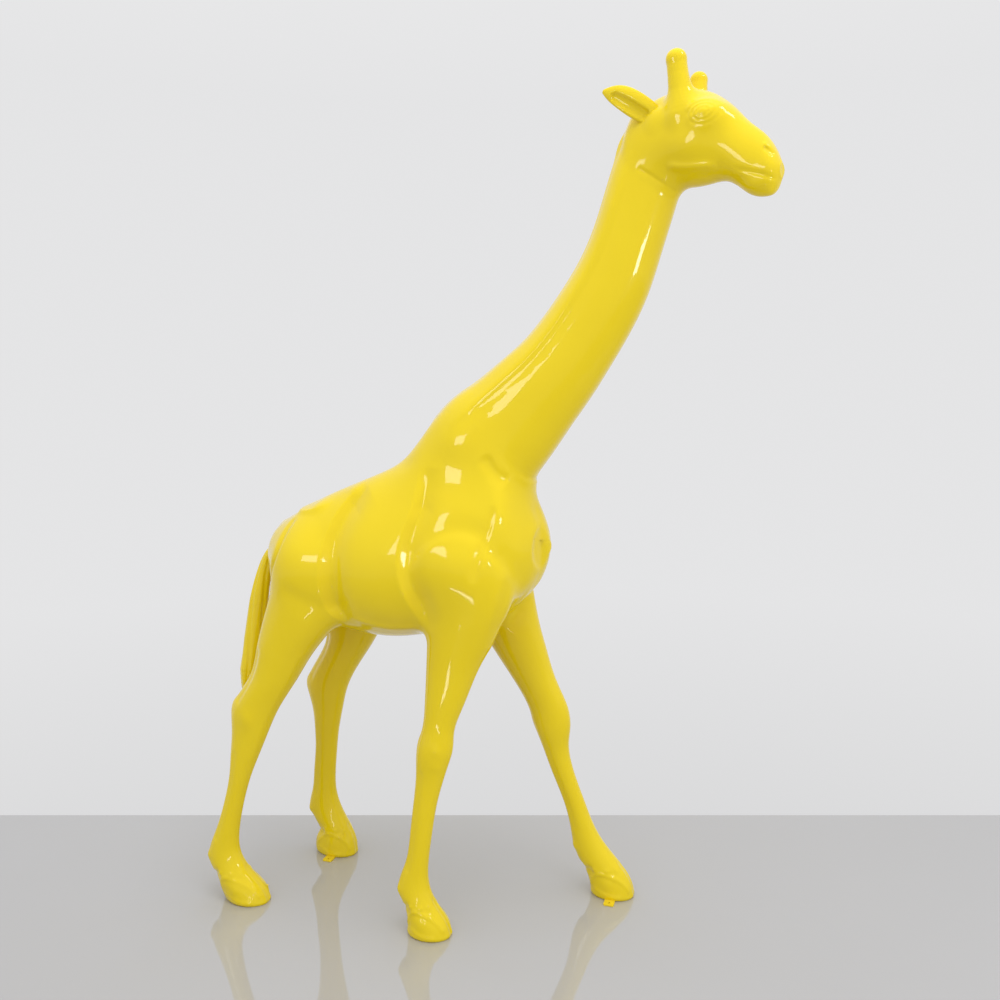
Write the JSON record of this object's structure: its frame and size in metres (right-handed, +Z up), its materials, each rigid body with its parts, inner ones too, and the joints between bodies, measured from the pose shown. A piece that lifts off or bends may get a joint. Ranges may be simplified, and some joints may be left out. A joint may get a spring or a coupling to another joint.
{
  "type": "giraffe statue",
  "caption": "Life-like walking giraffe statue, hollow glossy yellow moulded shells on a steel armature, with drilled fixing lugs at the hooves.",
  "frame": {"origin": "middle of the footprint of the bounding box, on the floor the hooves stand on", "axes": "+Z up, the animal faces -Y, its left side is +X"},
  "size_m": [0.444, 1.568, 2.279],
  "materials": {
    "yellow_lacquer": "high-gloss lacquer over polyester gelcoat",
    "lacquered_lug": "gloss lacquer over steel, worn at the hole",
    "armature_steel": "mill finish welded tube",
    "casting_resin": "cast filled polyester",
    "glass_laminate": "wet-laid glass mat in polyester"
  },
  "bodies": {
    "root": {"ear_left": "yellow_lacquer", "ear_right": "yellow_lacquer", "front_left_fixing_lug": "lacquered_lug", "front_left_hoof_fill": "casting_resin", "front_left_leg_rod": "armature_steel", "front_left_leg_shell_inner": "yellow_lacquer", "front_left_leg_shell_outer": "yellow_lacquer", "front_right_fixing_lug": "lacquered_lug", "front_right_hoof_fill": "casting_resin", "front_right_leg_rod": "armature_steel", "front_right_leg_shell_inner": "yellow_lacquer", "front_right_leg_shell_outer": "yellow_lacquer", "head_seam_tape": "glass_laminate", "head_shell_left": "yellow_lacquer", "head_shell_right": "yellow_lacquer", "hind_left_fixing_lug": "lacquered_lug", "hind_left_hoof_fill": "casting_resin", "hind_left_leg_rod": "armature_steel", "hind_left_leg_shell_inner": "yellow_lacquer", "hind_left_leg_shell_outer": "yellow_lacquer", "hind_right_fixing_lug": "lacquered_lug", "hind_right_hoof_fill": "casting_resin", "hind_right_leg_rod": "armature_steel", "hind_right_leg_shell_inner": "yellow_lacquer", "hind_right_leg_shell_outer": "yellow_lacquer", "hip_cross_tube": "armature_steel", "neck_seam_tape_back": "glass_laminate", "neck_seam_tape_front": "glass_laminate", "neck_shell_left": "yellow_lacquer", "neck_shell_right": "yellow_lacquer", "neck_tube": "armature_steel", "ossicone_left": "yellow_lacquer", "ossicone_right": "yellow_lacquer", "shoulder_cross_tube": "armature_steel", "spine_tube": "armature_steel", "tail": "yellow_lacquer", "torso_seam_tape": "glass_laminate", "torso_shell_left": "yellow_lacquer", "torso_shell_right": "yellow_lacquer"}
  },
  "joints": []
}
